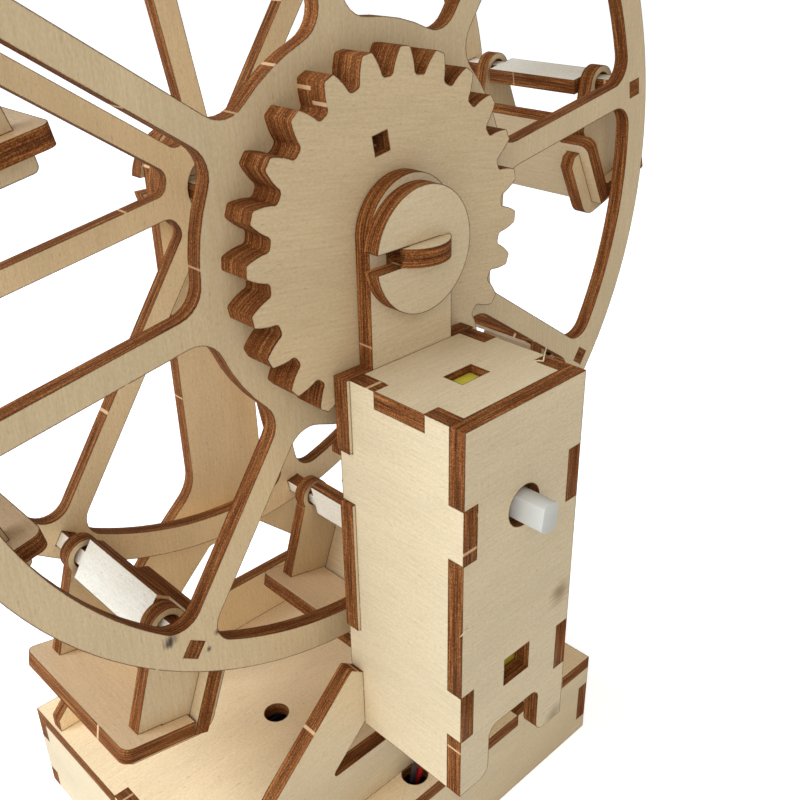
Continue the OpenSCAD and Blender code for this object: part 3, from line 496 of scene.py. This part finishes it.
def moulded(name, colour, roughness, relief=0.25, **settings):
    """Injection-moulded plastic: even colour with a faint flow mottle and a fine eroded texture."""
    material = fresh(name)
    here = node(material, "TexCoord").outputs["Object"]
    flow = node(material, "TexNoise", {"Vector": here}, in_Scale=1 / flow_size,
                in_Detail=2).outputs[0]
    flow = node(material, "MapRange", {0: flow}, in_1=0.35, in_2=0.7).outputs[0]
    darker = [c * flow_shade for c in shade(colour)[:3]] + [1]
    mottled = node(material, "Mix", {0: flow}, data_type="RGBA",
                   in_6=shade(colour), in_7=darker).outputs[2]
    skin = node(material, "TexNoise", {"Vector": here}, in_Scale=1 / skin_size,
                in_Detail=2).outputs[0]
    bump = node(material, "Bump", {"Height": skin}, in_Strength=relief,
                in_Distance=skin_relief).outputs[0]
    shader = node(material, "BsdfPrincipled", {"Base Color": mottled, "Normal": bump},
                  in_Roughness=roughness, in_IOR=1.5, **settings)
    node(material, "OutputMaterial", {"Surface": shader.outputs[0]})
    return material


def eased(node_name, material, width_mm, segments=2):
    """The piece that stands for a moulded or pressed CAD node, with its sharp edges eased."""
    bm = copy_of(node_name)
    sharp = [e for e in bm.edges if len(e.link_faces) == 2 and e.calc_face_angle() > sharp_angle]
    bmesh.ops.bevel(bm, geom=sharp, offset=width_mm * MM, segments=segments, profile=0.5,
                    affect="EDGES", material=-1, clamp_overlap=True)
    finish_piece(bm, node_name, "_piece", material, smooth_angle=35)


eased("battery_holder", moulded("black ABS", "#2b2b2f", 0.5), 0.3)
eased("battery_cells", moulded("grey shrink sleeve", "#63676d", 0.3), 0.4)
red_pvc = moulded("red PVC", "#a91d1d", 0.35, relief=0.1)
black_pvc = moulded("black PVC", "#1e1e20", 0.35, relief=0.1)
for piece_name, insulation in (("red_lead", red_pvc), ("black_lead", black_pvc)):
    finish_piece(copy_of(piece_name), piece_name, "_wire", insulation, smooth_angle=50)

# Battery contacts
# Thin springy strips of steel, stamped, bent and nickel-plated, and pressed into the
# tray's ends. The motor's can is drawn from the same steel.
line_mm = (0.3, 0.3, 9)
line_relief = 0.01 * MM


def plated(name, colour, roughness):
    """Plated sheet steel: bright, with fine lines left by the rolling and drawing."""
    material = fresh(name)
    here = node(material, "TexCoord").outputs["Object"]
    scale = [1 / (mm * MM) for mm in line_mm]
    at = node(material, "Mapping", {0: here}, in_Scale=scale).outputs[0]
    lines = node(material, "TexNoise", {"Vector": at}, in_Scale=1, in_Detail=2).outputs[0]
    rough = node(material, "MapRange", {0: lines},
                 in_3=roughness * 0.7, in_4=roughness * 1.4).outputs[0]
    bump = node(material, "Bump", {"Height": lines}, in_Strength=0.15,
                in_Distance=line_relief).outputs[0]
    shader = node(material, "BsdfPrincipled", {"Roughness": rough, "Normal": bump},
                  in_Base_Color=shade(colour), in_Metallic=1)
    node(material, "OutputMaterial", {"Surface": shader.outputs[0]})
    return material


steel = plated("nickel-plated steel", "#b4b5b2", 0.3)
eased("battery_contacts", steel, 0.08)

# Frames
# Two upright sheets stand in the base's top on tabs. The front one has a flat-sided post
# wide enough to close the back of the motor tower, and the rear one is a slim post on two legs.
cut_sheet("front_frame", X)
cut_sheet("rear_frame", Z, painted_light_birch)

# Motor tower
# A box of three sheets and a lid, finger-jointed to the front frame. The laser left soot
# by the shaft's hole, near the lower joint and on the right foot.
tower_low, tower_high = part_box("tower_front")
shaft_low, shaft_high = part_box("motor_shaft")
shaft_z = (shaft_low.z + shaft_high.z) / 2 / MM
front_y = tower_low.y / MM
tower_right_x = tower_high.x / MM
tower_foot_z = tower_low.z / MM
sooty_birch = birch("sooty birch plywood", smudges=(
    ((tower_right_x - 1.2, front_y, shaft_z - 2.3), 3.2, 0.55, "#8a6530"),
    ((tower_right_x - 2.8, front_y, tower_foot_z + 30.6), 3.6, 0.7, "#75562a"),
    ((tower_right_x - 2.0, front_y, tower_foot_z + 0.8), 3.2, 0.58, "#75562a")))
cut_sheet("tower_front", X, sooty_birch)
for piece_name in ("tower_left", "tower_right"):
    cut_sheet(piece_name, Y)
cut_sheet("tower_lid", X)

# Loose fibres
# Splinters of birch that still stand where bridges were snapped off: two at the lid's
# right joint and one on the tower's left front edge. Each is a bent, tapering strand.
loose_wood = moulded("torn birch fibre", "#dcc49b", 0.7, relief=0.1)
tower_body = nodes["tower_lid"]["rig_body"]
taper = (1, 1, 0.9, 0.7, 0.5)


def fibre(name, body, root, bends, radius=0.13):
    """A fibre whose bends are given in mm from its root."""
    line = bpy.data.curves.new(name, "CURVE")
    line.dimensions = "3D"
    line.bevel_depth = radius * MM
    line.bevel_resolution = 2
    line.use_fill_caps = True
    spline = line.splines.new("POLY")
    spline.points.add(len(bends) - 1)
    for spot, bend, share in zip(spline.points, bends, taper):
        spot.co = (*((root + Vector(bend)) * MM), 1)
        spot.radius = share
    bent = bpy.data.objects.new(name, line)
    strand = bpy.data.objects.new(name, bpy.data.meshes.new_from_object(bent))
    strand.data.materials.append(loose_wood)
    bpy.context.scene.collection.objects.link(strand)
    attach(strand, body)


torn_at = Vector((tower_right_x - 2.2, front_y + 6.9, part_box("tower_lid")[1].z / MM))
fibre("lid_fibre", tower_body, torn_at, (
    (0, 0, -0.05), (0.3, 0.1, 1.0), (0, -0.3, 1.9), (-0.5, -0.8, 2.8)))
fibre("lid_joint_fibre", tower_body, torn_at, (
    (0, 0, 0.05), (-0.5, 0.6, 0.12), (-1.2, 1.2, 0.05)))
nick_at = Vector((tower_low.x / MM, front_y, tower_foot_z + 36.5))
fibre("tower_fibre", tower_body, nick_at, (
    (-0.03, 0.3, -0.2), (-0.2, -0.05, 0.3), (0.5, -0.15, 0.9), (1.4, -0.08, 0.8)), radius=0.08)

# Gear motor
# A yellow nylon gearbox over a small steel can, held by a strap of thin clear plastic.
# Its white output shaft has two flats and stands out of the tower's front.
nylon_yellow = moulded("yellow nylon", "#d2c23e", 0.42)
nylon_white = moulded("white nylon", "#cdcac0", 0.5, relief=0.12, in_Subsurface_Weight=0.25,
                      in_Subsurface_Radius=(1.2 * MM, 1.1 * MM, 1.0 * MM))
clear_pet = moulded("greenish clear PET", "#b9d3b4", 0.18, relief=0.08,
                    in_Transmission_Weight=0.45)
eased("motor_gearbox", nylon_yellow, 0.35)
eased("motor_can", steel, 0.25)
eased("motor_strap", clear_pet, 0.06)
eased("motor_shaft", nylon_white, 0.35, segments=3)

# Gear pair
# The wheel's gear and the pinion are each two plies, pushed together and pinned through
# the square holes, so a dark seam runs round every tooth.
grain_lean = radians(8)
gear_grain = (cos(grain_lean), 0, -sin(grain_lean))
# A darker, warmer copy of the birch for the gears and the gondolas' ends and backs: painted shade,
# with the warm tint of light bounced off the wood around them.
painted_shade_birch = birch("birch plywood with painted shade", face="#d3ba92", streak="#c6aa7f")
for piece_name in ("gear_front_ply", "gear_back_ply", "pinion_front_ply", "pinion_back_ply"):
    cut_sheet(piece_name, gear_grain, painted_shade_birch)

# Axle
# A flat plywood bar with T heads, on which the wheel turns. Round caps with a slot slide
# over its necks and lock it, and a washer keeps the rear ring off the rear frame.
cut_sheet("axle_bar", Y)
for piece_name in ("front_cap", "rear_cap", "rear_washer"):
    cut_sheet(piece_name, X)

# Wheel
# Two spoked rings, cut from one sheet each, joined by eight flat bars whose square pins
# pass through the gondolas' ears and the rings. Soot specks show round the pins.
ring_face_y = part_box("front_ring")[0].y / MM
# Its faces are a little darker than plain birch: painted shade on the front ring. The specks round
# the pins are soot.
specked_shaded_birch = birch("specked birch plywood with painted shade", face="#d5bd95", streak="#c9ae83", smudges=(
    ((-46.66, ring_face_y, 77.98), 1.7, 0.95, "#2b190c"),
    ((-47.1, ring_face_y, 77.3), 1.2, 0.95, "#2b190c"),
    ((-40.05, ring_face_y, 71.9), 0.8, 0.95, "#2b190c"),
    ((-38.0, ring_face_y, 74.4), 0.9, 0.9, "#2b190c")))
# A near-white copy of the birch for the cross bars: a painted highlight, standing in for the window
# light that washes out their faces.
painted_highlight_birch = birch("birch plywood with painted highlight", face="#f8f1e0", streak="#efe2c6")
cut_sheet("front_ring", Z, specked_shaded_birch)
cut_sheet("rear_ring", Z, painted_light_birch)
cut_sheet("cross_bars", Y, painted_highlight_birch)

# Gondolas
# Each is a floor and a leaning seat back, cross-lapped into two end plates whose ears
# swing on the pins.
# A warmer copy of the birch for the gondolas' floors: painted warm bounce light from the wood
# around them.
painted_bounce_birch = birch("birch plywood with painted bounce light", face="#e4c499", streak="#d8b586")
for gondola in "abcdefgh":
    cut_sheet("gondola_" + gondola + "_ends", Z, painted_shade_birch)
    cut_sheet("gondola_" + gondola + "_floor", Y, painted_bounce_birch)
    cut_sheet("gondola_" + gondola + "_back", Y, painted_shade_birch)
